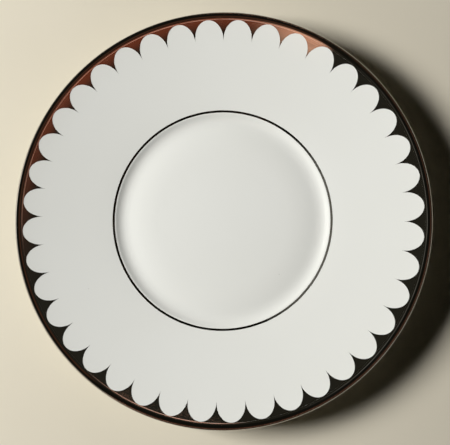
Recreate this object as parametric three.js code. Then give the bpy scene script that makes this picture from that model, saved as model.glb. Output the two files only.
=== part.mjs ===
// A tea saucer in glazed porcelain, lined in bright metal along its scalloped border, its lip and
// the edge of its well. Millimetres, +Z up, origin on the table at the centre of the foot ring.

import * as THREE from 'three';

const { degToRad } = THREE.MathUtils;

// Overall size, over the glaze
const saucerRadius = 80;
const seatHeight = 10.2;

// Well: a flat seat, a crown that falls away from it, a moat and a rising wall
const seatRadius = 25.7;
const crownSlope = degToRad(6.2);
const moatRadius = 14;
const moatSlope = degToRad(2.8);
const wallRadius = 6.6;
const wallSlope = degToRad(32.4);

// Verge, where the wall turns over into the flange, and the line drawn just outside it
const vergeRadius = 2;
const vergeMargin = 0.1;
const wellLineRadius = 42.8;
const wellLineWidth = 0.8;

// Flange, which runs straight from the line and then steepens towards its rim
const flangeInnerSlope = degToRad(11.2);
const flangeRun = 11.6;
const flangeOuterSlope = degToRad(15.3);

// Lip, a broad crown that ends in a tight edge
const lipWidth = 2.5;
const lipCrownRadius = 3.7;
const lipEdgeRadius = 0.45;
const lipUnderRadius = 1.3;

// Scalloped border, a row of half ellipses that open towards the well
const scallopCount = 40;
const scallopDepth = 7.5;
const crestMargin = 0.1;
const cuspMargin = 1;

// Underside and foot ring
const undersideSlope = degToRad(14.5);
const shoulderRadius = 4;
const footOverhang = 2.4;
const footTaper = degToRad(7);
const footEdgeRadius = 0.7;
const bearingWidth = 1.3;
const recessDepth = 5.3;
const recessFilletRadius = 2.2;
const recessSlope = degToRad(3);

// Layers laid on the fired body
const bondGap = 0.02;
const glazeThickness = 0.2;
const glazeLineHeight = 1.2;
const metalGap = 0.05;
const metalThickness = 0.06;
const lineGap = 0.06;

// Facets round the axis
const latheSegments = 60;
const scallopSteps = 6;

// Worked out from the sizes above
const glazeLift = bondGap + glazeThickness;
const metalLift = glazeLift + metalGap;
const bodyRadius = saucerRadius - glazeLift;
const lipStartRadius = bodyRadius - lipWidth;
const lipLineSetback = (metalLift + metalThickness) * Math.sin(flangeOuterSlope);
const facetApothem = Math.cos(Math.PI / latheSegments);
const borderRadius = (lipStartRadius - lipLineSetback) * facetApothem - lineGap;
const cuspRadius = borderRadius - crestMargin - scallopDepth;
const lineReach = (wellLineWidth / 2 + vergeMargin) * Math.cos(flangeInnerSlope);
const vergeSpan = vergeRadius * (Math.sin(wallSlope) - Math.sin(flangeInnerSlope));
const wallSpan = wallRadius * (Math.sin(wallSlope) - Math.sin(moatSlope));
const moatSpan = moatRadius * (Math.sin(moatSlope) + Math.sin(crownSlope));
const crownEdgeRadius = wellLineRadius - lineReach - vergeSpan - wallSpan - moatSpan;
const footOuterRadius = wellLineRadius + footOverhang;

const porcelain = new THREE.MeshStandardMaterial({ color: '#e9e5da', roughness: 0.75 });
const glaze = new THREE.MeshStandardMaterial({ color: '#eeeee6', roughness: 0.12 });
const platinum = new THREE.MeshStandardMaterial({ color: '#cbc7c0', roughness: 0.15, metalness: 1 });

/** A profile in the (radius, height) half plane, drawn as straight runs and tangent arcs. */
class Outline {
  constructor(radius, height) {
    this.heading = 0;
    this.stations = [{ point: new THREE.Vector2(radius, height), heading: 0 }];
    this.marks = {};
  }

  get end() {
    return this.stations.at(-1).point;
  }

  /** Runs straight on for a length. */
  run(length) {
    const along = new THREE.Vector2(Math.cos(this.heading), Math.sin(this.heading));
    const point = this.end.clone().addScaledVector(along, length);
    this.stations.push({ point, heading: this.heading });
    return this;
  }

  /** Runs straight on to a radius. */
  runToRadius(radius) {
    return this.run((radius - this.end.x) / Math.cos(this.heading));
  }

  /** Runs straight on to a height. */
  runToHeight(height) {
    return this.run((height - this.end.y) / Math.sin(this.heading));
  }

  /** Turns on an arc to a new heading. */
  turn(radius, heading, steps) {
    const side = Math.sign(heading - this.heading);
    const inward = new THREE.Vector2(-Math.sin(this.heading), Math.cos(this.heading));
    const centre = this.end.clone().addScaledVector(inward, side * radius);
    for (let step = 1; step <= steps; step += 1) {
      const turned = THREE.MathUtils.lerp(this.heading, heading, step / steps);
      const spoke = new THREE.Vector2(Math.sin(turned), -Math.cos(turned));
      const point = centre.clone().addScaledVector(spoke, side * radius);
      this.stations.push({ point, heading: turned });
    }
    this.heading = heading;
    return this;
  }

  /** Names the point that the outline has reached. */
  mark(name) {
    this.marks[name] = this.stations.length - 1;
    return this;
  }

  /** Lists the points between two marks, lifted off the outline square to it. */
  trace(from, to, lift = 0) {
    const stretch = this.stations.slice(this.marks[from], this.marks[to] + 1);
    return stretch.map(({ point, heading }) => {
      const outward = new THREE.Vector2(-Math.sin(heading), Math.cos(heading));
      return point.clone().addScaledVector(outward, lift);
    });
  }
}

/** How far an arc carries an outline between two headings, in radius and in height. */
function arcReach(radius, fromHeading, toHeading) {
  const side = Math.sign(toHeading - fromHeading);
  return new THREE.Vector2(
    side * radius * (Math.sin(toHeading) - Math.sin(fromHeading)),
    side * radius * (Math.cos(fromHeading) - Math.cos(toHeading)),
  );
}

/** The fired body's half section, from the middle of the well over the lip to the middle below. */
function bodyOutline() {
  const outline = new Outline(0, seatHeight - glazeLift);

  const crownRadius = (crownEdgeRadius - seatRadius) / Math.sin(crownSlope);
  outline.mark('wellCentre').run(seatRadius).turn(crownRadius, -crownSlope, 2);
  outline.turn(moatRadius, moatSlope, 2).turn(wallRadius, wallSlope, 3);
  outline.turn(vergeRadius, flangeInnerSlope, 1).run(vergeMargin);
  outline.mark('wellLineInner').run(wellLineWidth).mark('wellLineOuter').run(flangeRun);

  const flangeSpan = cuspRadius - cuspMargin - outline.end.x;
  const flangeBend = Math.sin(flangeOuterSlope) - Math.sin(flangeInnerSlope);
  outline.turn(flangeSpan / flangeBend, flangeOuterSlope, 2).mark('borderSeat');
  outline.runToRadius(lipStartRadius).mark('lipInner');

  const down = -Math.PI / 2;
  const inward = -Math.PI;
  const crownFall = lipWidth - lipEdgeRadius - lipCrownRadius * Math.sin(flangeOuterSlope);
  const lipEdgeSlope = Math.asin(crownFall / (lipCrownRadius - lipEdgeRadius));
  outline.turn(lipCrownRadius, -lipEdgeSlope, 2).turn(lipEdgeRadius, down, 2).mark('lipEdge');
  outline.turn(lipUnderRadius, inward + undersideSlope, 2);

  const footHeading = down - footTaper;
  const shoulder = arcReach(shoulderRadius, inward + undersideSlope, footHeading);
  outline.runToRadius(footOuterRadius - shoulder.x).turn(shoulderRadius, footHeading, 2);
  outline.runToHeight(glazeLineHeight).mark('outerGlazeLine');

  const footEdge = arcReach(footEdgeRadius, footHeading, inward);
  outline.runToHeight(-footEdge.y).turn(footEdgeRadius, inward, 1).run(bearingWidth);
  const recessHeading = inward + down + footTaper;
  outline.turn(footEdgeRadius, recessHeading, 1);
  outline.runToHeight(glazeLineHeight).mark('innerGlazeLine');

  const ceilingHeading = inward - recessSlope;
  const fillet = arcReach(recessFilletRadius, recessHeading, ceilingHeading);
  outline.runToHeight(recessDepth - fillet.y).turn(recessFilletRadius, ceilingHeading, 2);
  outline.turn(outline.end.x / Math.sin(recessSlope), inward, 2).mark('baseCentre');
  outline.end.setX(0);
  return outline;
}

/** Revolves a closed half section round +Z. Its points run clockwise, radius right and height up. */
function revolve(section, segments) {
  const geometry = new THREE.LatheGeometry(section.toReversed(), segments);
  return geometry.rotateX(Math.PI / 2);
}

/** A layer of even thickness on the stretch of an outline between two marks. */
function layer(outline, from, to, lift, thickness) {
  const outer = outline.trace(from, to, lift + thickness);
  const inner = outline.trace(from, to, lift).reverse();
  return revolve([...outer, ...inner, outer[0]], latheSegments);
}

/** The border: a flat ring whose inner edge is drawn into scallops, then draped on the flange. */
function scallopedBorder(outline) {
  const seat = outline.trace('borderSeat', 'borderSeat')[0];
  const low = metalLift;
  const high = metalLift + metalThickness;
  const section = [
    new THREE.Vector2(cuspRadius, low),
    new THREE.Vector2(cuspRadius, high),
    new THREE.Vector2(borderRadius, high),
    new THREE.Vector2(borderRadius, low),
    new THREE.Vector2(cuspRadius, low),
  ];
  const geometry = revolve(section, scallopCount * scallopSteps);
  const pitch = (2 * Math.PI) / scallopCount;
  const edgeLimit = (cuspRadius + borderRadius) / 2;
  const position = geometry.getAttribute('position');
  const point = new THREE.Vector3();
  for (let index = 0; index < position.count; index += 1) {
    point.fromBufferAttribute(position, index);
    const turns = Math.atan2(point.y, point.x) / pitch;
    const phase = Math.PI * (turns - Math.floor(turns) - 0.5);
    const azimuth = pitch * (Math.floor(turns) + 0.5 + Math.sin(phase) / 2);
    const scallopRadius = cuspRadius + scallopDepth * Math.cos(phase);
    const radius = Math.hypot(point.x, point.y) < edgeLimit ? scallopRadius : borderRadius;
    const seatRise = (radius - seat.x) * Math.tan(flangeOuterSlope);
    const height = seat.y + seatRise + point.z / Math.cos(flangeOuterSlope);
    position.setXYZ(index, radius * Math.cos(azimuth), radius * Math.sin(azimuth), height);
  }
  geometry.computeVertexNormals();
  return geometry;
}

/** A named sub-part. */
function piece(name, geometry, material) {
  const mesh = new THREE.Mesh(geometry, material);
  mesh.name = name;
  return mesh;
}

const outline = bodyOutline();
const bodySection = outline.trace('wellCentre', 'baseCentre');
const glazeLayer = (from, to) => layer(outline, from, to, bondGap, glazeThickness);
const metalLayer = (from, to) => layer(outline, from, to, metalLift, metalThickness);

const saucer = new THREE.Group();
saucer.add(
  piece('porcelain_body', revolve(bodySection, latheSegments), porcelain),
  piece('glaze_coat', glazeLayer('wellCentre', 'outerGlazeLine'), glaze),
  piece('base_glaze', glazeLayer('innerGlazeLine', 'baseCentre'), glaze),
  piece('scalloped_border', scallopedBorder(outline), platinum),
  piece('lip_line', metalLayer('lipInner', 'lipEdge'), platinum),
  piece('well_line', metalLayer('wellLineInner', 'wellLineOuter'), platinum),
);

export default saucer;
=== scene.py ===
"""A porcelain saucer: fired body, clear glaze and burnished metal lining, on a pale table.

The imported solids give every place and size. The pieces here are finer forms of the same outline,
revolved and scalloped by geometry nodes, with procedural finishes. Lengths are in metres.
"""

import logging
import math
from dataclasses import dataclass, field
from enum import Enum

import bpy
from mathutils import Matrix, Vector


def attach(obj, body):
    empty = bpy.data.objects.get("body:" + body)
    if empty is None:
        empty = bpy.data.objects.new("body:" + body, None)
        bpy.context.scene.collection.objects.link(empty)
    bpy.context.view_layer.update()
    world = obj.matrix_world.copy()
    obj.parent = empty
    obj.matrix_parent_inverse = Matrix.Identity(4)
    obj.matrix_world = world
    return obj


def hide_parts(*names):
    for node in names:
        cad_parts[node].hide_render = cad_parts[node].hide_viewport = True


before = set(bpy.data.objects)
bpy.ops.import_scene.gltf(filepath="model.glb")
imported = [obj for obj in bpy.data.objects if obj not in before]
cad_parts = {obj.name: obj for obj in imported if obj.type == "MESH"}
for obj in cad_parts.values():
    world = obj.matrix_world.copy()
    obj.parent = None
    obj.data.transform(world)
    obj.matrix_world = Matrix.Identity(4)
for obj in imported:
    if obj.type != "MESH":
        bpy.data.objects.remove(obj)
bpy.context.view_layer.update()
LOG = logging.getLogger("saucer")
BACKDROP = (0.66, 0.62, 0.53)
BLACK = (0.0, 0.0, 0.0)
DOWN = -math.pi / 2
INWARD = -math.pi

Point = tuple[float, float]
Span = tuple[float, float]
Place = tuple[float, float, float]
Colour = tuple[float, float, float]
Output = bpy.types.NodeSocket
Outputs = bpy.types.NodeOutputs
Source = Output | float | Colour
Layer = tuple[Colour, Output]


class Slot(Enum):
    """Material slot names."""

    BISQUE = "bisque"
    GLAZE = "glaze"
    PLATINUM = "platinum"


class Mark(Enum):
    """Places on the saucer's outline, from the well's centre round to the base's centre."""

    WELL_CENTRE = "well centre"
    WELL_LINE_INNER = "well line, inner edge"
    WELL_LINE_OUTER = "well line, outer edge"
    BORDER_SEAT = "border seat"
    LIP_INNER = "lip, inner edge"
    LIP_EDGE = "lip, outer edge"
    OUTER_GLAZE_LINE = "glaze line outside the foot"
    INNER_GLAZE_LINE = "glaze line inside the foot"
    BASE_CENTRE = "base centre"


@dataclass(frozen=True)
class Station:
    """One point of an outline and the way the outline heads there, in radians."""

    radius: float
    height: float
    heading: float


class Outline:
    """A half section drawn as straight runs and tangent arcs, with named places on it."""

    def __init__(self, radius: float, height: float, chord: float, bend: float) -> None:
        """Starts an outline that heads away from the axis.

        Args:
            radius: Radius of the first point.
            height: Height of the first point.
            chord: Longest step along an arc.
            bend: Largest turn in one step along an arc, in radians.
        """
        self.chord = chord
        self.bend = bend
        self.stations = [Station(radius, height, 0.0)]
        self.marks: dict[Mark, int] = {}

    @property
    def end(self) -> Station:
        """The point that the outline has reached."""
        return self.stations[-1]

    def mark(self, place: Mark) -> "Outline":
        """Names the point that the outline has reached."""
        self.marks[place] = len(self.stations) - 1
        return self

    def run(self, length: float) -> "Outline":
        """Goes straight on.

        Args:
            length: Length of the run.

        Returns:
            The outline itself.
        """
        radius = self.end.radius + length * math.cos(self.end.heading)
        height = self.end.height + length * math.sin(self.end.heading)
        self.stations.append(Station(radius, height, self.end.heading))
        return self

    def run_to_radius(self, radius: float) -> "Outline":
        """Goes straight on to a radius."""
        return self.run((radius - self.end.radius) / math.cos(self.end.heading))

    def run_to_height(self, height: float) -> "Outline":
        """Goes straight on to a height."""
        return self.run((height - self.end.height) / math.sin(self.end.heading))

    def turn(self, radius: float, heading: float) -> "Outline":
        """Turns on an arc.

        Args:
            radius: Radius of the arc.
            heading: Heading at the end of the arc, in radians.

        Returns:
            The outline itself.
        """
        start = self.end
        swing = heading - start.heading
        side = math.copysign(radius, swing)
        centre = (
            start.radius - side * math.sin(start.heading),
            start.height + side * math.cos(start.heading),
        )
        steps = math.ceil(max(abs(swing) / self.bend, abs(swing) * radius / self.chord))
        for step in range(1, steps + 1):
            turned = start.heading + swing * step / steps
            self.stations.append(
                Station(
                    centre[0] + side * math.sin(turned),
                    centre[1] - side * math.cos(turned),
                    turned,
                )
            )
        return self

    def trace(self, first: Mark, last: Mark, lift: float = 0.0) -> list[Point]:
        """Lists the points between two places, lifted square to the outline.

        Args:
            first: Place of the first point.
            last: Place of the last point.
            lift: Distance outwards from the outline.

        Returns:
            Radius and height of each point.
        """
        return [
            (
                max(0.0, s.radius - lift * math.sin(s.heading)),
                s.height + lift * math.cos(s.heading),
            )
            for s in self.stations[self.marks[first] : self.marks[last] + 1]
        ]

    def layer(self, first: Mark, last: Mark, lift: float, thickness: float) -> list[Point]:
        """Draws the closed section of a layer of even thickness between two places.

        Args:
            first: Place where the layer begins.
            last: Place where it ends.
            lift: Distance from the outline to the layer's inner face.
            thickness: Thickness of the layer.

        Returns:
            Radius and height of each point, the first one again at the end.
        """
        outer = self.trace(first, last, lift + thickness)
        inner = self.trace(first, last, lift)
        return [*outer, *reversed(inner), outer[0]]


def arc_reach(radius: float, start: float, end: float) -> Point:
    """Gives how far an arc carries an outline.

    Args:
        radius: Radius of the arc.
        start: Heading at its start, in radians.
        end: Heading at its end, in radians.

    Returns:
        The change in radius and in height.
    """
    side = math.copysign(radius, end - start)
    return (
        side * (math.sin(end) - math.sin(start)),
        side * (math.cos(start) - math.cos(end)),
    )


@dataclass
class SaucerForm:
    """The saucer's driving sizes, over the glaze, and the outline that they give."""

    saucer_radius: float = 0.080
    seat_height: float = 0.01013
    seat_radius: float = 0.0257
    crown_slope: float = math.radians(6.2)
    moat_radius: float = 0.014
    moat_slope: float = math.radians(2.8)
    wall_radius: float = 0.0066
    wall_slope: float = math.radians(32.4)
    verge_radius: float = 0.0020
    verge_margin: float = 0.0001
    well_line_radius: float = 0.0428
    well_line_width: float = 0.00086
    flange_inner_slope: float = math.radians(11.0)
    flange_run: float = 0.008
    flange_outer_slope: float = math.radians(13.8)
    rim_slope: float = math.radians(16.7)
    lip_width: float = 0.0025
    lip_run: float = 0.0005
    lip_run_slope: float = math.radians(17.7)
    lip_edge_slope: float = math.radians(1.5)
    lip_edge_radius: float = 0.00045
    lip_under_radius: float = 0.00158
    scallop_count: int = 40
    scallop_depth: float = 0.0075
    crest_margin: float = 0.0001
    cusp_margin: float = 0.001
    underside_slope: float = math.radians(14.5)
    shoulder_radius: float = 0.0040
    foot_overhang: float = 0.0024
    foot_taper: float = math.radians(7)
    foot_edge_radius: float = 0.0007
    bearing_width: float = 0.0013
    recess_depth: float = 0.0053
    recess_fillet_radius: float = 0.0022
    recess_slope: float = math.radians(3)
    bond_gap: float = 0.00002
    glaze_thickness: float = 0.0002
    glaze_line_height: float = 0.0012
    metal_gap: float = 0.00002
    metal_thickness: float = 0.00003
    line_gap: float = 0.00002
    chord: float = 0.0012
    bend: float = math.radians(6)
    segments: int = 320

    @property
    def glaze_lift(self) -> float:
        """How far the glaze's face stands off the fired body."""
        return self.bond_gap + self.glaze_thickness

    @property
    def metal_lift(self) -> float:
        """How far the underside of the metal stands off the fired body."""
        return self.glaze_lift + self.metal_gap

    @property
    def lip_start_radius(self) -> float:
        """Radius at which the flange turns over into the lip."""
        return self.saucer_radius - self.glaze_lift - self.lip_width

    @property
    def border_radius(self) -> float:
        """Outer radius of the scalloped border, where the lip line begins."""
        setback = (self.metal_lift + self.metal_thickness) * math.sin(self.rim_slope)
        return self.lip_start_radius - setback - self.line_gap

    @property
    def cusp_radius(self) -> float:
        """Radius of the points between the scallops."""
        return self.border_radius - self.crest_margin - self.scallop_depth

    @property
    def border_seat_radius(self) -> float:
        """Radius at which the flange begins to steepen under the border."""
        return self.cusp_radius - self.cusp_margin

    @property
    def rim_bend_radius(self) -> float:
        """Radius of the arc on which the flange steepens under the border."""
        span = self.lip_start_radius - self.border_seat_radius
        return span / (math.sin(self.rim_slope) - math.sin(self.flange_outer_slope))

    def outline(self) -> Outline:
        """Draws the fired body's half section.

        Returns:
            The outline, from the middle of the well over the lip to the middle of the base.
        """
        line = Outline(0.0, self.seat_height - self.glaze_lift, self.chord, self.bend)
        self._draw_well(line)
        self._draw_flange(line)
        self._draw_lip(line)
        self._draw_underside(line)
        self._draw_recess(line)
        return line

    def _draw_well(self, line: Outline) -> None:
        """Draws the seat, crown, moat, wall and verge.

        Args:
            line: The outline, which starts at the middle of the seat.
        """
        rise, fall = math.sin(self.wall_slope), math.sin(self.crown_slope)
        verge_span = self.verge_radius * (rise - math.sin(self.flange_inner_slope))
        wall_span = self.wall_radius * (rise - math.sin(self.moat_slope))
        moat_span = self.moat_radius * (math.sin(self.moat_slope) + fall)
        margin = self.well_line_width / 2 + self.verge_margin
        verge_end = self.well_line_radius - margin * math.cos(self.flange_inner_slope)
        crown_edge = verge_end - verge_span - wall_span - moat_span
        line.mark(Mark.WELL_CENTRE).run(self.seat_radius)
        line.turn((crown_edge - self.seat_radius) / fall, -self.crown_slope)
        line.turn(self.moat_radius, self.moat_slope).turn(self.wall_radius, self.wall_slope)
        line.turn(self.verge_radius, self.flange_inner_slope)

    def _draw_flange(self, line: Outline) -> None:
        """Draws the flange, which steepens slowly at first and faster under the border.

        Args:
            line: The outline, which has reached the verge.
        """
        line.run(self.verge_margin).mark(Mark.WELL_LINE_INNER)
        line.run(self.well_line_width).mark(Mark.WELL_LINE_OUTER)
        line.run(self.flange_run)
        span = self.border_seat_radius - line.end.radius
        rise = math.sin(self.flange_outer_slope) - math.sin(self.flange_inner_slope)
        line.turn(span / rise, self.flange_outer_slope).mark(Mark.BORDER_SEAT)
        line.turn(self.rim_bend_radius, self.rim_slope).mark(Mark.LIP_INNER)

    def _draw_lip(self, line: Outline) -> None:
        """Draws the lip: a short steep run, a broad crown and a tight edge.

        Args:
            line: The outline, which has reached the end of the flange.
        """
        line.turn(self.lip_edge_radius, self.lip_run_slope).run(self.lip_run)
        edge_span = self.lip_edge_radius * (1 + math.sin(self.lip_edge_slope))
        crown_span = self.saucer_radius - self.glaze_lift - edge_span - line.end.radius
        crown_bend = math.sin(self.lip_run_slope) - math.sin(self.lip_edge_slope)
        line.turn(crown_span / crown_bend, self.lip_edge_slope)
        line.turn(self.lip_edge_radius, DOWN).mark(Mark.LIP_EDGE)

    def _draw_underside(self, line: Outline) -> None:
        """Draws the underside, from the lip's edge down to the foot's bearing face.

        Args:
            line: The outline, which has reached the lip's edge.
        """
        underside = INWARD + self.underside_slope
        wall = DOWN - self.foot_taper
        shoulder = arc_reach(self.shoulder_radius, underside, wall)
        line.turn(self.lip_under_radius, underside)
        line.run_to_radius(self.well_line_radius + self.foot_overhang - shoulder[0])
        line.turn(self.shoulder_radius, wall)
        line.run_to_height(self.glaze_line_height).mark(Mark.OUTER_GLAZE_LINE)
        edge = arc_reach(self.foot_edge_radius, wall, INWARD)
        line.run_to_height(-edge[1]).turn(self.foot_edge_radius, INWARD)
        line.run(self.bearing_width)

    def _draw_recess(self, line: Outline) -> None:
        """Draws the recess inside the foot ring.

        Args:
            line: The outline, which has reached the inner edge of the bearing face.
        """
        wall = INWARD + DOWN + self.foot_taper
        ceiling = INWARD - self.recess_slope
        fillet = arc_reach(self.recess_fillet_radius, wall, ceiling)
        line.turn(self.foot_edge_radius, wall)
        line.run_to_height(self.glaze_line_height).mark(Mark.INNER_GLAZE_LINE)
        line.run_to_height(self.recess_depth - fillet[1])
        line.turn(self.recess_fillet_radius, ceiling)
        line.turn(line.end.radius / math.sin(self.recess_slope), INWARD)
        line.mark(Mark.BASE_CENTRE)


class NodeGraph:
    """Adds and links nodes in a node tree."""

    def __init__(self, tree: bpy.types.NodeTree) -> None:
        """Takes the tree to work on."""
        self.tree = tree

    def add(self, kind: str, **settings: object) -> bpy.types.Node:
        """Adds a node.

        Args:
            kind: The node's type name.
            settings: Properties to set on it.

        Returns:
            The node.
        """
        node = self.tree.nodes.new(kind)
        for name, value in settings.items():
            setattr(node, name, value)
        return node

    def feed(self, socket: Output, source: Source) -> None:
        """Links a socket to an output, or sets its value.

        Args:
            socket: The input to feed.
            source: An output, a number or a colour.
        """
        if isinstance(source, Output):
            self.tree.links.new(source, socket)
        elif socket.type == "RGBA":
            socket.default_value = (*source, 1.0)
        else:
            socket.default_value = source

    def place(
        self, kind: str, inputs: dict[str | int, Source], **settings: object
    ) -> Outputs:
        """Adds a node and feeds its inputs.

        Args:
            kind: The node's type name.
            inputs: Input name or index to output or value.
            settings: Properties to set on it.

        Returns:
            The node's outputs.
        """
        node = self.add(kind, **settings)
        for name, source in inputs.items():
            self.feed(node.inputs[name], source)
        return node.outputs

    def math(self, operation: str, *sources: Source) -> Output:
        """Adds a Math node and gives its result."""
        return self.place("ShaderNodeMath", dict(enumerate(sources)), operation=operation)[0]

    def product(self, whole: Source, *others: Source) -> Output:
        """Multiplies values.

        Args:
            whole: The first value.
            others: The values to multiply it by.

        Returns:
            The product.
        """
        for other in others:
            whole = self.math("MULTIPLY", whole, other)
        return whole

    def vector(self, operation: str, *sources: Source) -> Outputs:
        """Adds a Vector Math node and gives its outputs."""
        return self.place("ShaderNodeVectorMath", dict(enumerate(sources)), operation=operation)

    def scale(self, source: Source, share: Source) -> Output:
        """Scales a direction or a colour."""
        inputs = {0: source, "Scale": share}
        return self.place("ShaderNodeVectorMath", inputs, operation="SCALE")[0]

    def level(self, part: Outputs) -> Output:
        """Keeps the level part of a direction or a place."""
        return self.place("ShaderNodeCombineXYZ", {"X": part["X"], "Y": part["Y"]})[0]

    def span(self, source: Source, low: Source, high: Source) -> Output:
        """Turns a range of values smoothly into 0 to 1.

        Args:
            source: The value.
            low: Where the result is 0.
            high: Where the result is 1.

        Returns:
            The result.
        """
        inputs = {"Value": source, "From Min": low, "From Max": high}
        return self.place("ShaderNodeMapRange", inputs, interpolation_type="SMOOTHSTEP")[0]

    def share(self, source: Source, low: float, high: float) -> Output:
        """Turns 0 to 1 into a range of values."""
        return self.math("MULTIPLY_ADD", source, high - low, low)

    def blend(self, share: Source, first: Source, second: Source) -> Output:
        """Mixes two colours.

        Args:
            share: Share of the second colour.
            first: First colour.
            second: Second colour.

        Returns:
            The mixed colour.
        """
        node = self.add("ShaderNodeMix", data_type="RGBA")
        colours = [socket for socket in node.inputs if socket.type == "RGBA"]
        self.feed(node.inputs[0], share)
        self.feed(colours[0], first)
        self.feed(colours[1], second)
        return next(output for output in node.outputs if output.type == "RGBA")

    def bump(self, height: Source, strength: float, distance: float) -> Output:
        """Turns a height into a bumped normal."""
        inputs = {"Height": height, "Strength": strength, "Distance": distance}
        return self.place("ShaderNodeBump", inputs)[0]

    def dot(self, source: Source, way: Vector) -> Output:
        """Gives how far a direction points along a fixed one."""
        return self.vector("DOT_PRODUCT", source, tuple(way))["Value"]

    def seen(self) -> Output:
        """Marks the rays by which the camera sees a thing, or sees it in metal or glass.

        Returns:
            1 for those rays and 0 for the others.
        """
        ray = self.add("ShaderNodeLightPath").outputs
        mirrored = self.math("MAXIMUM", ray["Is Glossy Ray"], ray["Is Transmission Ray"])
        return self.math("MAXIMUM", ray["Is Camera Ray"], mirrored)

    def total(self, *parts: tuple[Source, Source]) -> Output:
        """Adds up colours.

        Args:
            parts: Pairs of a colour and its share.

        Returns:
            The summed colour.
        """
        whole, *layers = [self.scale(colour, share) for colour, share in parts]
        for layer in layers:
            whole = self.vector("ADD", whole, layer)[0]
        return whole


class PieceTree:
    """Geometry nodes that make one kind of piece from named sizes."""

    NAME = ""
    COUNTS: tuple[str, ...] = ()
    SIZES: tuple[str, ...] = ()
    WELD = 1e-7
    CREASE = math.radians(40)

    def __init__(self) -> None:
        """Builds the tree."""
        self.tree = bpy.data.node_groups.new(self.NAME, "GeometryNodeTree")
        self.tree.is_modifier = True
        kinds = {
            "NodeSocketGeometry": ("Profile",),
            "NodeSocketInt": self.COUNTS,
            "NodeSocketFloat": self.SIZES,
            "NodeSocketMaterial": ("Material",),
        }
        face = self.tree.interface
        for kind, names in kinds.items():
            for name in names:
                face.new_socket(name, in_out="INPUT", socket_type=kind)
        face.new_socket("Piece", in_out="OUTPUT", socket_type="NodeSocketGeometry")
        graph = NodeGraph(self.tree)
        given = graph.add("NodeGroupInput").outputs
        self._finish(graph, self.shape(graph, given), given["Material"])

    def shape(self, graph: NodeGraph, given: Outputs) -> Output:
        """Wires the piece's shape.

        Args:
            graph: The tree's nodes.
            given: The tree's inputs.

        Returns:
            The shape.
        """
        raise NotImplementedError

    def grow(
        self, name: str, inputs: dict[str, object], profile: list[Point]
    ) -> bpy.types.Object:
        """Runs the tree and keeps its result as a plain mesh.

        Args:
            name: Name of the finished piece.
            inputs: Name of each of the tree's inputs to its value.
            profile: Radius and height of the profile's points, or none.

        Returns:
            The piece, at the origin, with no modifier.
        """
        mesh = bpy.data.meshes.new(name)
        mesh.from_pydata([(radius, 0.0, height) for radius, height in profile], [], [])
        piece = bpy.data.objects.new(name, mesh)
        bpy.context.scene.collection.objects.link(piece)
        modifier = piece.modifiers.new("form", "NODES")
        modifier.node_group = self.tree
        for socket in self.tree.interface.items_tree:
            if socket.name in inputs:
                modifier[socket.identifier] = inputs[socket.name]
        graph = bpy.context.evaluated_depsgraph_get()
        grown = bpy.data.meshes.new_from_object(piece.evaluated_get(graph), depsgraph=graph)
        piece.modifiers.clear()
        piece.data = grown
        grown.name = name
        bpy.data.meshes.remove(mesh)
        return piece

    @staticmethod
    def grid(graph: NodeGraph, steps: Output, rows: Output) -> tuple[Output, Output, Output]:
        """Makes a flat grid, to be wrapped round the axis.

        Args:
            graph: The tree's nodes.
            steps: Number of steps round the axis.
            rows: Number of points in each column.

        Returns:
            The grid, and the column and the row of each of its points.
        """
        columns = graph.math("ADD", steps, 1.0)
        grid = graph.place("GeometryNodeMeshGrid", {"Vertices X": columns, "Vertices Y": rows})
        index = graph.add("GeometryNodeInputIndex").outputs[0]
        # The half keeps the quotient clear of whole numbers, where rounding could tip it.
        between = graph.math("ADD", index, 0.5)
        column = graph.math("FLOOR", graph.math("DIVIDE", between, rows))
        row = graph.math("SUBTRACT", index, graph.math("MULTIPLY", column, rows))
        return grid["Mesh"], column, row

    @staticmethod
    def wrap(
        graph: NodeGraph, grid: Output, radius: Output, azimuth: Output, height: Output
    ) -> Output:
        """Moves each point of a grid to its place round the axis.

        Args:
            graph: The tree's nodes.
            grid: The grid.
            radius: Each point's radius.
            azimuth: Its azimuth, in radians.
            height: Its height.

        Returns:
            The moved grid.
        """
        place = {
            "X": graph.math("MULTIPLY", radius, graph.math("COSINE", azimuth)),
            "Y": graph.math("MULTIPLY", radius, graph.math("SINE", azimuth)),
            "Z": height,
        }
        position = graph.place("ShaderNodeCombineXYZ", place)[0]
        return graph.place("GeometryNodeSetPosition", {"Geometry": grid, "Position": position})[0]

    def weld(self, graph: NodeGraph, shape: Output) -> Output:
        """Joins the points that meet."""
        inputs = {"Geometry": shape, "Distance": self.WELD}
        return graph.place("GeometryNodeMergeByDistance", inputs)[0]

    def _finish(self, graph: NodeGraph, shape: Output, material: Output) -> None:
        """Ends the tree: welds seams, faces outward, creases edges and sets the material.

        Args:
            graph: The tree's nodes.
            shape: The shape.
            material: The material.
        """
        outward = graph.place("GeometryNodeFlipFaces", {"Mesh": self.weld(graph, shape)})[0]
        inputs = {"Geometry": outward, "Shade Smooth": True}
        smooth = graph.place("GeometryNodeSetShadeSmooth", inputs)[0]
        angle = graph.add("GeometryNodeInputMeshEdgeAngle").outputs["Unsigned Angle"]
        inputs = {0: angle, 1: self.CREASE}
        sharp = graph.place(
            "FunctionNodeCompare", inputs, data_type="FLOAT", operation="GREATER_THAN"
        )[0]
        inputs = {"Geometry": smooth, "Selection": sharp, "Shade Smooth": False}
        creased = graph.place("GeometryNodeSetShadeSmooth", inputs, domain="EDGE")[0]
        real = graph.place("GeometryNodeRealizeInstances", {"Geometry": creased})[0]
        inputs = {"Geometry": real, "Material": material}
        graph.place("NodeGroupOutput", {0: graph.place("GeometryNodeSetMaterial", inputs)[0]})


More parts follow.
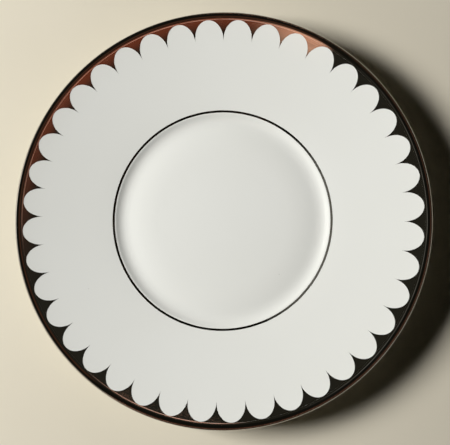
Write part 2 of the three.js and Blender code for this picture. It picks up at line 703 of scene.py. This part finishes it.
class RevolveTree(PieceTree):
    """Geometry nodes that revolve a profile of points round the vertical axis."""

    NAME = "revolve_profile"
    COUNTS = ("Segments",)

    def shape(self, graph: NodeGraph, given: Outputs) -> Output:
        """Places each column of a grid on the profile, turned by its share of a circle.

        Args:
            graph: The tree's nodes.
            given: The tree's inputs.

        Returns:
            The revolved shape.
        """
        profile = given["Profile"]
        rings = graph.place("GeometryNodeAttributeDomainSize", {"Geometry": profile})
        grid, column, ring = self.grid(graph, given["Segments"], rings["Point Count"])
        turn = graph.math("DIVIDE", column, given["Segments"])
        place = graph.add("GeometryNodeInputPosition").outputs[0]
        inputs = {"Geometry": profile, "Value": place, "Index": ring}
        sample = graph.place("GeometryNodeSampleIndex", inputs, data_type="FLOAT_VECTOR")[0]
        section = graph.place("ShaderNodeSeparateXYZ", {0: sample})
        azimuth = graph.math("MULTIPLY", turn, math.tau)
        return self.wrap(graph, grid, section["X"], azimuth, section["Z"])


class ScallopTree(PieceTree):
    """Geometry nodes that drape a border with a scalloped inner edge on a bending flange."""

    NAME = "scalloped_border"
    COUNTS = ("Scallops", "Steps", "Rows")
    SIZES = (
        "Cusp Radius",
        "Scallop Depth",
        "Border Radius",
        "Seat Radius",
        "Seat Height",
        "Seat Slope",
        "Seat Bend",
        "Lift",
        "Thickness",
    )

    def shape(self, graph: NodeGraph, given: Outputs) -> Output:
        """Bends a strip round the rim, cuts its edge to half ellipses and gives it thickness.

        Args:
            graph: The tree's nodes.
            given: The tree's inputs.

        Returns:
            The closed border.
        """
        rows = given["Rows"]
        steps = graph.math("MULTIPLY", given["Scallops"], given["Steps"])
        strip, column, row = self.grid(graph, steps, rows)
        share = graph.math("DIVIDE", row, graph.math("SUBTRACT", rows, 1.0))

        # Each scallop is half an ellipse, stepped by its angle so that the points stay sharp.
        turns = graph.math("DIVIDE", column, given["Steps"])
        cell = graph.math("FLOOR", turns)
        aside = graph.math("SUBTRACT", graph.math("SUBTRACT", turns, cell), 0.5)
        phase = graph.math("MULTIPLY", aside, math.pi)
        swing = graph.math("MULTIPLY", graph.math("SINE", phase), 0.5)
        pitches = graph.math("ADD", graph.math("ADD", cell, 0.5), swing)
        pitch = graph.math("DIVIDE", math.tau, given["Scallops"])
        azimuth = graph.math("MULTIPLY", pitches, pitch)

        arch = graph.math("MULTIPLY", graph.math("COSINE", phase), given["Scallop Depth"])
        inner = graph.math("ADD", arch, given["Cusp Radius"])
        width = graph.math("SUBTRACT", given["Border Radius"], inner)
        radius = graph.math("ADD", inner, graph.math("MULTIPLY", share, width))
        reach = graph.math("SUBTRACT", radius, given["Seat Radius"])
        slope = graph.math("MULTIPLY_ADD", reach, given["Seat Bend"], given["Seat Slope"])
        climb = graph.math("MULTIPLY", reach, slope)
        height = graph.math("ADD", graph.math("ADD", climb, given["Seat Height"]), given["Lift"])

        sheet = self.weld(graph, self.wrap(graph, strip, radius, azimuth, height))
        upright = graph.place("ShaderNodeCombineXYZ", {"Z": given["Thickness"]})[0]
        inputs = {"Mesh": sheet, "Offset": upright, "Individual": False}
        raised = graph.place("GeometryNodeExtrudeMesh", inputs, mode="FACES")["Mesh"]
        under = graph.place("GeometryNodeFlipFaces", {"Mesh": sheet})[0]
        closed = graph.add("GeometryNodeJoinGeometry")
        graph.feed(closed.inputs[0], raised)
        graph.feed(closed.inputs[0], under)
        return closed.outputs[0]


class EffectGroup:
    """A shader node group that makes one value from a piece's own coordinates."""

    NAME = ""
    INPUTS: tuple[str, ...] = ()
    OUTPUT = ""

    def __init__(self) -> None:
        """Builds the group."""
        self.tree = bpy.data.node_groups.new(self.NAME, "ShaderNodeTree")
        face = self.tree.interface
        for name in self.INPUTS:
            face.new_socket(name, in_out="INPUT", socket_type="NodeSocketFloat")
        face.new_socket(self.OUTPUT, in_out="OUTPUT", socket_type="NodeSocketFloat")
        graph = NodeGraph(self.tree)
        given = graph.add("NodeGroupInput").outputs
        place = graph.add("ShaderNodeTexCoord").outputs["Object"]
        graph.place("NodeGroupOutput", {self.OUTPUT: self.wire(graph, given, place)})

    def wire(self, graph: NodeGraph, given: Outputs, place: Output) -> Output:
        """Wires the group.

        Args:
            graph: The group's nodes.
            given: The group's inputs.
            place: Position on the piece.

        Returns:
            The value that the group puts out.
        """
        raise NotImplementedError

    def use(self, graph: NodeGraph, **inputs: float) -> Output:
        """Places the group in a material.

        Args:
            graph: The material's nodes.
            inputs: Value of each of the group's inputs.

        Returns:
            The value that the group puts out.
        """
        return graph.place("ShaderNodeGroup", inputs, node_tree=self.tree)[self.OUTPUT]

    @staticmethod
    def noise(graph: NodeGraph, place: Output, size: Source, detail: float) -> Output:
        """Makes cloud noise.

        Args:
            graph: The group's nodes.
            place: Where the noise is read.
            size: Size of the clouds.
            detail: Number of finer layers in it.

        Returns:
            The noise, between 0 and 1.
        """
        scale = graph.math("DIVIDE", 1.0, size)
        inputs = {"Vector": place, "Scale": scale, "Detail": detail}
        return graph.place("ShaderNodeTexNoise", inputs)[0]


class Drift(EffectGroup):
    """Slow, cloudy change over the surface, between 0 and 1."""

    NAME = "slow_drift"
    INPUTS = ("Size", "Softness")
    OUTPUT = "Drift"
    DETAIL = 2.0
    MIDDLE = 0.5

    def wire(self, graph: NodeGraph, given: Outputs, place: Output) -> Output:
        """Spreads cloud noise about its middle.

        Args:
            graph: The group's nodes.
            given: The group's inputs.
            place: Position on the piece.

        Returns:
            The drift.
        """
        noise = self.noise(graph, place, given["Size"], self.DETAIL)
        low = graph.math("SUBTRACT", self.MIDDLE, given["Softness"])
        high = graph.math("ADD", self.MIDDLE, given["Softness"])
        return graph.span(noise, low, high)


class Grain(EffectGroup):
    """Fine, even grain, between 0 and 1."""

    NAME = "fine_grain"
    INPUTS = ("Size",)
    OUTPUT = "Grain"
    DETAIL = 1.0

    def wire(self, graph: NodeGraph, given: Outputs, place: Output) -> Output:
        """Makes grain from cloud noise."""
        return self.noise(graph, place, given["Size"], self.DETAIL)


class RingMarks(EffectGroup):
    """Fine lines that follow the wheel round the axis, between 0 and 1."""

    NAME = "ring_marks"
    INPUTS = ("Spacing", "Breaks")
    OUTPUT = "Marks"
    DETAIL = 3.0
    CONTRAST = (0.3, 0.7)

    def wire(self, graph: NodeGraph, given: Outputs, place: Output) -> Output:
        """Stretches noise round the axis, so that it changes fast across and slowly along.

        Args:
            graph: The group's nodes.
            given: The group's inputs.
            place: Position on the piece.

        Returns:
            The marks.
        """
        part = graph.place("ShaderNodeSeparateXYZ", {0: place})
        flat = graph.level(part)
        along = graph.scale(graph.vector("NORMALIZE", flat)[0], given["Breaks"])
        reach = graph.math("ADD", graph.vector("LENGTH", flat)["Value"], part["Z"])
        lines = graph.math("DIVIDE", reach, given["Spacing"])
        across = graph.place("ShaderNodeCombineXYZ", {"Z": lines})[0]
        stretched = graph.vector("ADD", along, across)[0]
        return graph.span(self.noise(graph, stretched, 1.0, self.DETAIL), *self.CONTRAST)


class Specks(EffectGroup):
    """A few small round specks, as a mask."""

    NAME = "specks"
    INPUTS = ("Spacing", "Size")
    OUTPUT = "Mask"
    LEFT_OUT = 0.6

    def wire(self, graph: NodeGraph, given: Outputs, place: Output) -> Output:
        """Keeps the middles of some cells.

        Args:
            graph: The group's nodes.
            given: The group's inputs.
            place: Position on the piece.

        Returns:
            1 on a speck and 0 beside it.
        """
        scale = graph.math("DIVIDE", 1.0, given["Spacing"])
        cells = graph.place("ShaderNodeTexVoronoi", {"Vector": place, "Scale": scale})
        reach = graph.math("DIVIDE", given["Size"], given["Spacing"])
        near = graph.math("LESS_THAN", cells["Distance"], reach)
        chance = graph.place("ShaderNodeSeparateColor", {0: cells["Color"]})[0]
        return graph.math("MULTIPLY", near, graph.math("GREATER_THAN", chance, self.LEFT_OUT))


class Effects:
    """The surface effects that the finishes share."""

    def __init__(self) -> None:
        """Builds each effect once."""
        self.drift = Drift()
        self.grain = Grain()
        self.rings = RingMarks()
        self.specks = Specks()


@dataclass(frozen=True)
class Paint:
    """A material in the making: its nodes and shader, the effects and its drifting colour."""

    graph: NodeGraph
    shader: bpy.types.Node
    effects: Effects
    colour: Output

    def feed(self, name: str, source: Source) -> None:
        """Feeds one of the shader's inputs."""
        self.graph.feed(self.shader.inputs[name], source)


@dataclass(frozen=True)
class Finish:
    """A surface finish whose colour drifts between two shades."""

    name: str
    colour: Colour
    shade: Colour
    drift_size: float
    drift_softness: float = 0.22

    def material(self, effects: Effects) -> bpy.types.Material:
        """Makes the material.

        Args:
            effects: The shared surface effects.

        Returns:
            A new material with one Principled shader.
        """
        material = bpy.data.materials.new(self.name)
        material.use_nodes = True
        graph = NodeGraph(material.node_tree)
        shader = material.node_tree.nodes["Principled BSDF"]
        drift = effects.drift.use(graph, Size=self.drift_size, Softness=self.drift_softness)
        self.dress(Paint(graph, shader, effects, graph.blend(drift, self.colour, self.shade)))
        return material

    def dress(self, paint: Paint) -> None:
        """Feeds the shader.

        Args:
            paint: The material in the making.
        """
        raise NotImplementedError


@dataclass(frozen=True)
class Glaze(Finish):
    """Clear glaze on white porcelain: glossy, with faint orange peel and a rare speck."""

    speck: Colour = (0.42, 0.40, 0.36)
    speck_spacing: float = 0.012
    speck_size: float = 0.00012
    roughness: Span = (0.05, 0.11)
    gloss_size: float = 0.018
    gloss_softness: float = 0.25
    peel_size: float = 0.0016
    wheel_spacing: float = 0.0022
    wheel_breaks: float = 1.2
    wheel_share: float = 0.6
    relief: float = 0.05
    relief_depth: float = 0.00003
    refraction: float = 1.5

    def dress(self, paint: Paint) -> None:
        """Adds specks, uneven gloss, orange peel and faint marks of the wheel.

        Args:
            paint: The material in the making.
        """
        graph, effects = paint.graph, paint.effects
        mask = effects.specks.use(graph, Spacing=self.speck_spacing, Size=self.speck_size)
        paint.feed("Base Color", graph.blend(mask, paint.colour, self.speck))
        gloss = effects.drift.use(graph, Size=self.gloss_size, Softness=self.gloss_softness)
        paint.feed("Roughness", graph.share(gloss, *self.roughness))
        peel = effects.grain.use(graph, Size=self.peel_size)
        wheel = effects.rings.use(graph, Spacing=self.wheel_spacing, Breaks=self.wheel_breaks)
        height = graph.math("MULTIPLY_ADD", wheel, self.wheel_share, peel)
        paint.feed("Normal", graph.bump(height, self.relief, self.relief_depth))
        paint.feed("IOR", self.refraction)


@dataclass(frozen=True)
class Bisque(Finish):
    """Bare fired porcelain: matt and finely grained, with marks of the wheel."""

    speck: Colour = (0.30, 0.24, 0.18)
    speck_spacing: float = 0.006
    speck_size: float = 0.00010
    roughness: Span = (0.62, 0.85)
    grain_size: float = 0.0003
    wheel_spacing: float = 0.0006
    wheel_breaks: float = 2.5
    wheel_share: float = 0.8
    relief: float = 0.5
    relief_depth: float = 0.00004

    def dress(self, paint: Paint) -> None:
        """Adds specks, grain and wheel marks.

        Args:
            paint: The material in the making.
        """
        graph, effects = paint.graph, paint.effects
        mask = effects.specks.use(graph, Spacing=self.speck_spacing, Size=self.speck_size)
        paint.feed("Base Color", graph.blend(mask, paint.colour, self.speck))
        grain = effects.grain.use(graph, Size=self.grain_size)
        paint.feed("Roughness", graph.share(grain, *self.roughness))
        wheel = effects.rings.use(graph, Spacing=self.wheel_spacing, Breaks=self.wheel_breaks)
        height = graph.math("MULTIPLY_ADD", wheel, self.wheel_share, grain)
        paint.feed("Normal", graph.bump(height, self.relief, self.relief_depth))


@dataclass(frozen=True)
class Platinum(Finish):
    """Burnished metal lining: bright, streaked by the brush and rubbed dull in places."""

    rubbed: Colour = (0.50, 0.44, 0.38)
    rub_size: float = 0.007
    rub_softness: float = 0.12
    rub_share: float = 0.5
    roughness: Span = (0.03, 0.10)
    streak_spacing: float = 0.00022
    streak_breaks: float = 6.0
    relief: float = 0.02
    relief_depth: float = 0.00002

    def dress(self, paint: Paint) -> None:
        """Adds brush streaks and rub marks.

        Args:
            paint: The material in the making.
        """
        graph, effects = paint.graph, paint.effects
        paint.feed("Metallic", 1.0)
        streaks = effects.rings.use(
            graph, Spacing=self.streak_spacing, Breaks=self.streak_breaks
        )
        rub = effects.drift.use(graph, Size=self.rub_size, Softness=self.rub_softness)
        worn = graph.math("MULTIPLY", rub, streaks)
        tint = graph.math("MULTIPLY", worn, self.rub_share)
        paint.feed("Base Color", graph.blend(tint, paint.colour, self.rubbed))
        paint.feed("Roughness", graph.share(worn, *self.roughness))
        paint.feed("Normal", graph.bump(streaks, self.relief, self.relief_depth))


@dataclass(frozen=True)
class Paper(Finish):
    """The table's matt paper cover, which fades into the pale backdrop far from the saucer."""

    backdrop: Colour = BACKDROP
    fade: Span = (0.2, 0.7)
    tooth_size: float = 0.0007
    roughness: Span = (0.8, 0.95)
    relief: float = 0.15
    relief_depth: float = 0.00005
    sheen: float = 0.2

    def dress(self, paint: Paint) -> None:
        """Adds a fibrous tooth and the fade.

        Args:
            paint: The material in the making.
        """
        graph = paint.graph
        place = graph.add("ShaderNodeTexCoord").outputs["Object"]
        reach = graph.vector("LENGTH", place)["Value"]
        far = graph.math("MULTIPLY", graph.span(reach, *self.fade), graph.seen())
        paint.feed("Base Color", graph.blend(far, paint.colour, BLACK))
        paint.feed("Emission Color", graph.blend(far, BLACK, self.backdrop))
        paint.feed("Emission Strength", 1.0)
        tooth = paint.effects.grain.use(graph, Size=self.tooth_size)
        paint.feed("Roughness", graph.share(tooth, *self.roughness))
        paint.feed("Normal", graph.bump(tooth, self.relief, self.relief_depth))
        paint.feed("Specular IOR Level", self.sheen)


@dataclass
class Saucer:
    """Builds and dresses the saucer's pieces."""

    effects: Effects
    form: SaucerForm = field(default_factory=SaucerForm)
    scallop_steps: int = 24
    border_rows: int = 14
    glaze: Glaze = Glaze("clear_glaze", (0.806, 0.806, 0.752), (0.794, 0.793, 0.736), 0.05)
    bisque: Bisque = Bisque("bare_porcelain", (0.78, 0.74, 0.66), (0.70, 0.66, 0.57), 0.009)
    metal: Platinum = Platinum("burnished_platinum", (0.70, 0.68, 0.65), (0.66, 0.62, 0.57), 0.02)

    def build(self) -> list[bpy.types.Object]:
        """Builds every piece.

        Returns:
            The pieces, riding on the body and standing for their solids.
        """
        form, line = self.form, self.form.outline()
        tree = RevolveTree()
        glaze = self.glaze.material(self.effects)
        bisque = self.bisque.material(self.effects)
        metal = self.metal.material(self.effects)
        glazed = (form.bond_gap, form.glaze_thickness)
        lined = (form.metal_lift, form.metal_thickness)
        body = line.trace(Mark.WELL_CENTRE, Mark.BASE_CENTRE)
        coat = line.layer(Mark.WELL_CENTRE, Mark.OUTER_GLAZE_LINE, *glazed)
        base = line.layer(Mark.INNER_GLAZE_LINE, Mark.BASE_CENTRE, *glazed)
        lip = line.layer(Mark.LIP_INNER, Mark.LIP_EDGE, *lined)
        well = line.layer(Mark.WELL_LINE_INNER, Mark.WELL_LINE_OUTER, *lined)
        return [
            self.turned(tree, "porcelain_body", body, bisque, Slot.BISQUE),
            self.turned(tree, "glaze_coat", coat, glaze, Slot.GLAZE),
            self.turned(tree, "base_glaze", base, glaze, Slot.GLAZE),
            self.border(line, metal),
            self.turned(tree, "lip_line", lip, metal, Slot.PLATINUM),
            self.turned(tree, "well_line", well, metal, Slot.PLATINUM),
        ]

    def turned(
        self,
        tree: RevolveTree,
        node: str,
        section: list[Point],
        material: bpy.types.Material,
        slot: Slot,
    ) -> bpy.types.Object:
        """Revolves a section.

        Args:
            tree: The geometry nodes that revolve it.
            node: The solid that the piece stands for.
            section: Radius and height of the section's points.
            material: The piece's material.
            slot: Its material slot.

        Returns:
            The piece.
        """
        values = {"Segments": self.form.segments, "Material": material}
        return self.seat(tree.grow(f"{node}_fine", values, section), node, slot)

    def border(self, line: Outline, metal: bpy.types.Material) -> bpy.types.Object:
        """Lays the scalloped border on the flange.

        Args:
            line: The fired body's outline.
            metal: The border's material.

        Returns:
            The piece.
        """
        form = self.form
        seat_radius, seat_height = line.trace(Mark.BORDER_SEAT, Mark.BORDER_SEAT)[0]
        slope = form.flange_outer_slope
        curvature = 1 / (form.rim_bend_radius * math.cos(slope) ** 3)
        values = {
            "Scallops": form.scallop_count,
            "Steps": self.scallop_steps,
            "Rows": self.border_rows,
            "Cusp Radius": form.cusp_radius,
            "Scallop Depth": form.scallop_depth,
            "Border Radius": form.border_radius,
            "Seat Radius": seat_radius,
            "Seat Height": seat_height,
            "Seat Slope": math.tan(slope),
            "Seat Bend": curvature / 2,
            "Lift": form.metal_lift / math.cos(slope),
            "Thickness": form.metal_thickness / math.cos(slope),
            "Material": metal,
        }
        piece = ScallopTree().grow("scalloped_border_fine", values, [])
        return self.seat(piece, "scalloped_border", Slot.PLATINUM)

    @staticmethod
    def seat(piece: bpy.types.Object, node: str, slot: Slot) -> bpy.types.Object:
        """Makes a piece stand for its solid and ride on the body.

        Args:
            piece: The piece.
            node: The solid that it stands for.
            slot: Not used.

        Returns:
            The piece.
        """
        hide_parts(node)
        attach(piece, "root")
        return piece


def heading(azimuth: float, elevation: float = 0.0) -> Vector:
    """Gives the unit vector towards an azimuth and an elevation, in radians."""
    flat = math.cos(elevation)
    return Vector((flat * math.cos(azimuth), flat * math.sin(azimuth), math.sin(elevation)))


@dataclass(frozen=True)
class Band:
    """A band of colour round the hub, with the distances over which it starts and ends."""

    colour: Colour
    start: Span
    end: Span

    def paint(self, graph: NodeGraph, spread: Output, *shares: Output) -> Layer:
        """Paints the band.

        Args:
            graph: The world's nodes.
            spread: Distance from the hub.
            shares: What else limits the band.

        Returns:
            Its colour and how much of it shows.
        """
        start = graph.span(spread, *self.start)
        return self.colour, graph.product(start, graph.span(spread, *self.end), *shares)


@dataclass(frozen=True)
class Glow:
    """A round glow, with the angles from its middle at which it ends and is full."""

    colour: Colour
    edge: float
    core: float

    def paint(self, graph: NodeGraph, way: Output, middle: Vector) -> Layer:
        """Paints the glow.

        Args:
            graph: The world's nodes.
            way: Direction of the ray.
            middle: Direction of the glow.

        Returns:
            Its colour and how much of it shows.
        """
        nearness = graph.dot(way, middle)
        return self.colour, graph.span(nearness, math.cos(self.edge), math.cos(self.core))


@dataclass
class Surroundings:
    """The room round the table: pale low down, dark overhead, with a panel, a card and glows.

    Bands are measured from a hub in the plan of ray directions. A side is an azimuth about the
    hub, and a fade holds the cosines of the angles from a side at which a thing begins and is full.
    """

    backdrop: Colour = BACKDROP
    backdrop_heights: Span = (0.16, 0.02)
    ambient: Colour = (0.0008, 0.0006, 0.0005)
    hub: Place = (-0.0845, 0.053, 0.0)
    gloom: Colour = (0.021, 0.020, 0.015)
    gloom_start: Span = (0.24, 0.31)
    gloom_share: Span = (0.35, 1.0)
    gloom_on_panel: float = 0.2
    warmth: Band = Band((0.062, 0.022, 0.011), (0.06, 0.14), (0.25, 0.21))
    panel: Band = Band((0.17, 0.041, 0.019), (0.298, 0.335), (0.44, 0.36))
    panel_fade: Span = (-0.92, 0.1)
    panel_cut_side: float = math.radians(-33.5)
    panel_cut_fade: Span = (-0.02, 0.05)
    bright_panel: Band = Band((0.65, 0.38, 0.26), (0.27, 0.315), (0.44, 0.36))
    bright_side: float = math.radians(-128)
    bright_fade: Span = (0.87, 1.0)
    trim: Band = Band((1.0, 0.57, 0.43), (0.348, 0.362), (0.41, 0.39))
    trim_fade: Span = (-0.8, -0.5)
    trim_rise: Span = (0.3, 0.55)
    trim_share: Span = (0.5, 0.9)
    far_trim_side: float = math.radians(76)
    far_trim_fade: Span = (0.90, 0.99)
    far_trim_share: float = 1.4
    card: Band = Band((0.15, 0.15, 0.137), (0.235, 0.25), (0.29, 0.275))
    card_side: float = math.radians(170)
    card_fade: Span = (0.5, 0.9)
    lamp_glow: Glow = Glow((1.3, 1.28, 1.22), math.radians(11), math.radians(3))
    lamp_halo: Glow = Glow((0.45, 0.43, 0.40), math.radians(20), math.radians(8))
    fill: Glow = Glow((0.5, 0.46, 0.39), math.radians(23), math.radians(8))
    fill_azimuth: float = math.radians(-148)
    fill_elevation: float = math.radians(44)
    low_glow: Colour = (0.55, 0.52, 0.45)
    low_glow_heights: Span = (0.55, 0.3)
    low_glow_fade: Span = (-0.45, -0.8)

    def build(self, lamp: Vector) -> None:
        """Makes the world.

        Args:
            lamp: Direction of the lamp.
        """
        world = bpy.data.worlds.new("dim_room")
        world.use_nodes = True
        graph = NodeGraph(world.node_tree)
        seen = graph.seen()
        unseen = graph.math("SUBTRACT", 1.0, seen)
        way = graph.add("ShaderNodeTexCoord").outputs["Generated"]
        part = graph.place("ShaderNodeSeparateXYZ", {0: way})
        low = graph.span(part["Z"], *self.low_glow_heights)
        room = graph.total(
            *self._overhead(graph, part),
            self.lamp_glow.paint(graph, way, lamp),
            self.lamp_halo.paint(graph, way, lamp),
            self.fill.paint(graph, way, heading(self.fill_azimuth, self.fill_elevation)),
            (self.backdrop, graph.span(part["Z"], *self.backdrop_heights)),
            (self.low_glow, graph.product(low, graph.span(part["X"], *self.low_glow_fade))),
        )
        colour = graph.total((room, seen), (self.ambient, unseen))
        graph.feed(world.node_tree.nodes["Background"].inputs["Color"], colour)
        bpy.context.scene.world = world

    def _overhead(self, graph: NodeGraph, part: Outputs) -> list[Layer]:
        """Paints what the metal mirrors from overhead: gloom, panel, trim and card.

        Args:
            graph: The world's nodes.
            part: Direction of the ray, part by part.

        Returns:
            Colours and how much of each shows.
        """
        aside = graph.vector("SUBTRACT", graph.level(part), self.hub)[0]
        spread = graph.vector("LENGTH", aside)["Value"]
        turn = graph.vector("NORMALIZE", aside)[0]
        cut = graph.span(graph.dot(turn, heading(self.panel_cut_side)), *self.panel_cut_fade)
        along = graph.dot(turn, heading(self.bright_side))
        panel = self.panel.paint(graph, spread, cut, graph.span(along, *self.panel_fade))
        end = graph.span(along, *self.bright_fade)
        beside = graph.span(graph.dot(turn, heading(self.card_side)), *self.card_fade)

        rise = graph.share(graph.span(along, *self.trim_rise), *self.trim_share)
        near_trim = graph.product(cut, graph.span(along, *self.trim_fade), rise)
        far_trim = graph.span(graph.dot(turn, heading(self.far_trim_side)), *self.far_trim_fade)
        both_trims = graph.math("MULTIPLY_ADD", far_trim, self.far_trim_share, near_trim)

        dim = graph.share(graph.span(spread, *self.gloom_start), *self.gloom_share)
        off_panel = graph.share(panel[1], 1.0, self.gloom_on_panel)
        return [
            (self.gloom, graph.product(dim, off_panel)),
            self.warmth.paint(graph, spread, cut),
            panel,
            self.bright_panel.paint(graph, spread, cut, end),
            self.trim.paint(graph, spread, both_trims),
            self.card.paint(graph, spread, beside),
        ]


@dataclass
class Studio:
    """The table, the lamp, the surroundings and the camera."""

    effects: Effects
    surroundings: Surroundings = field(default_factory=Surroundings)
    table_size: float = 6.0
    paper: Paper = Paper("table_paper", (0.668, 0.616, 0.496), (0.652, 0.600, 0.480), 0.08)
    lamp_azimuth: float = math.radians(173.3)
    lamp_elevation: float = math.radians(43.8)
    lamp_distance: float = 0.94
    lamp_size: float = 0.32
    lamp_power: float = 11.95
    picture_width: int = 450
    focal_pixels: float = 852.0
    sensor_width: float = 36.0
    clip_start: float = 0.01
    camera_place: Place = (0.03065, -0.01924, 0.34186)
    camera_turn: Place = (math.radians(-3.184), math.radians(5.011), math.radians(0.937))

    def build(self) -> None:
        """Sets up the whole studio."""
        towards = heading(self.lamp_azimuth, self.lamp_elevation)
        self.table()
        self.lamp(towards)
        self.surroundings.build(towards)
        self.camera()
        bpy.context.scene.view_settings.view_transform = "Standard"

    def table(self) -> None:
        """Lays the table top."""
        half = self.table_size / 2
        mesh = bpy.data.meshes.new("table_top")
        corners = [(-half, -half, 0), (half, -half, 0), (half, half, 0), (-half, half, 0)]
        mesh.from_pydata(corners, [], [(0, 1, 2, 3)])
        top = bpy.data.objects.new("table_top", mesh)
        bpy.context.scene.collection.objects.link(top)
        mesh.materials.append(self.paper.material(self.effects))

    def lamp(self, towards: Vector) -> None:
        """Hangs a soft lamp. Its mirror image is left to the surroundings.

        Args:
            towards: Direction of the lamp.
        """
        data = bpy.data.lights.new("soft_lamp", "AREA")
        data.shape = "SQUARE"
        data.size = self.lamp_size
        data.energy = self.lamp_power
        lamp = bpy.data.objects.new("soft_lamp", data)
        lamp.location = towards * self.lamp_distance
        lamp.rotation_euler = (-towards).to_track_quat("-Z", "Y").to_euler()
        lamp.visible_glossy = False
        bpy.context.scene.collection.objects.link(lamp)

    def camera(self) -> None:
        """Places the camera above the saucer, turned a little from straight down."""
        data = bpy.data.cameras.new("camera")
        data.sensor_width = self.sensor_width
        data.lens = self.focal_pixels * self.sensor_width / self.picture_width
        data.clip_start = self.clip_start
        camera = bpy.data.objects.new("camera", data)
        turn = Vector(self.camera_turn)
        spin = Matrix.Rotation(turn.length, 3, turn.normalized())
        to_camera = spin @ Matrix(((1, 0, 0), (0, -1, 0), (0, 0, -1)))
        right, below, ahead = (Vector(row) for row in to_camera)
        pose = Matrix((right, -below, -ahead)).transposed().to_4x4()
        pose.translation = Vector(self.camera_place)
        camera.matrix_world = pose
        bpy.context.scene.collection.objects.link(camera)
        bpy.context.scene.camera = camera


def main() -> None:
    """Builds the studio and the saucer, and reports each piece."""
    logging.basicConfig(level=logging.INFO, format="%(name)s: %(message)s")
    LOG.info("%d solids in the frame", len(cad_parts))
    effects = Effects()
    Studio(effects).build()
    for piece in Saucer(effects).build():
        LOG.info("%s: %d faces", piece.name, len(piece.data.polygons))


if __name__ == "__main__":
    main()
